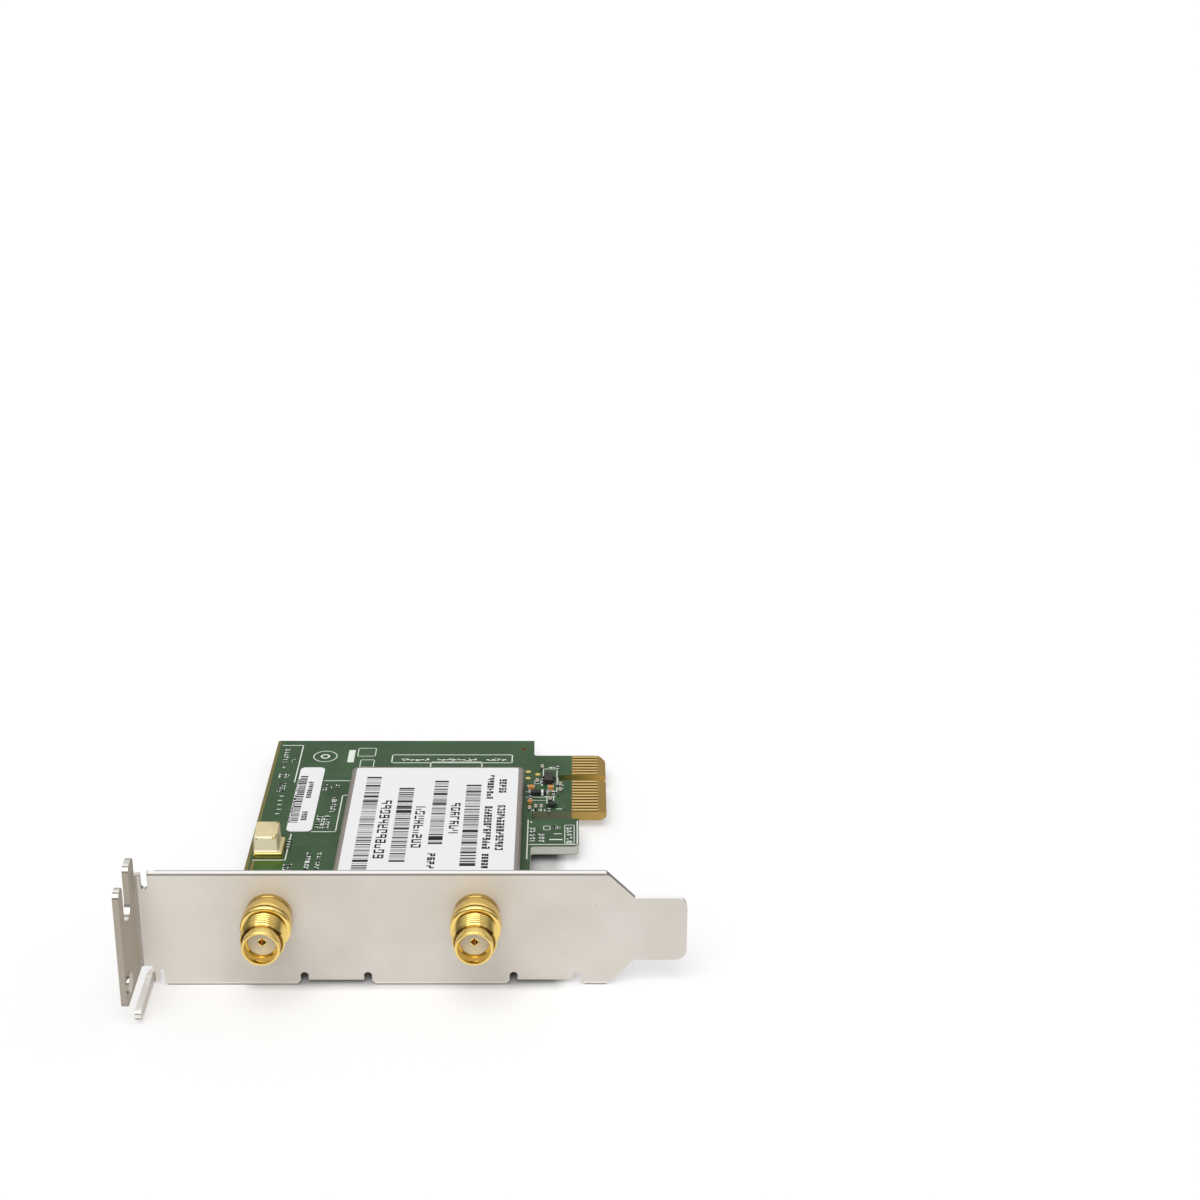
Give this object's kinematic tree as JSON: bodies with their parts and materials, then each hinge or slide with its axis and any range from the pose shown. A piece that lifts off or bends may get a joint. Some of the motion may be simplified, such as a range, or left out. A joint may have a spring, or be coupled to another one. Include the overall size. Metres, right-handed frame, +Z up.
{
  "type": "wifi card",
  "caption": "Low-profile wireless network card: slot bracket with threaded antenna jacks, circuit board with an edge connector and a shielded radio section.",
  "frame": {"origin": "under the middle of the outer box, at the height of the lowest edge of the bracket plate", "axes": "+X along the bracket from its ear to its tongue, +Y from the bracket over the board, +Z up from the surface that the card lies on, out of the component side"},
  "size_m": [0.0792, 0.0844, 0.0216],
  "materials": {
    "nickel_plate": "satin nickel plating",
    "screw_steel": "bright zinc plating",
    "solder_mask": "semi-gloss green solder mask",
    "contact_gold": "polished gold plating",
    "tinned_steel": "satin tinned sheet",
    "label_paper": "satin white label",
    "jack_gold": "polished gold plating",
    "insulator_white": "matte",
    "lead_jacket": "semi-gloss",
    "clip_gold": "satin gold plating",
    "chip_black": "matte moulded",
    "capacitor_tan": "matte",
    "tantalum_orange": "satin moulded"
  },
  "bodies": {
    "root": {"bracket": "nickel_plate", "bracket_screws": "screw_steel", "main_board": "solder_mask", "edge_contacts_top": "contact_gold", "edge_contacts_bottom": "contact_gold", "test_pads": "contact_gold", "shield_frame": "tinned_steel", "shield_cover": "tinned_steel", "shield_label": "label_paper", "serial_label": "label_paper", "jack_body_1": "jack_gold", "jack_body_2": "jack_gold", "jack_insulator_1": "insulator_white", "jack_insulator_2": "insulator_white", "jack_contact_1": "contact_gold", "jack_contact_2": "contact_gold", "lock_washer_1": "screw_steel", "lock_washer_2": "screw_steel", "jack_nut_1": "jack_gold", "jack_nut_2": "jack_gold", "crimp_ferrule_1": "jack_gold", "crimp_ferrule_2": "jack_gold", "coax_lead_1": "lead_jacket", "coax_lead_2": "lead_jacket", "lead_plug_1": "jack_gold", "lead_plug_2": "jack_gold", "board_socket_1": "jack_gold", "board_socket_2": "jack_gold", "plated_clip": "clip_gold", "radio_chip": "chip_black", "crystal": "tinned_steel", "front_end_1": "chip_black", "front_end_2": "chip_black", "memory_chip": "chip_black", "power_inductor": "chip_black", "inner_capacitors": "capacitor_tan", "inner_resistors": "chip_black", "tantalum_capacitors": "tantalum_orange", "power_diode": "chip_black", "logic_chip": "chip_black", "reset_chip": "chip_black", "chip_capacitors": "capacitor_tan", "chip_resistors": "chip_black"}
  },
  "joints": []
}
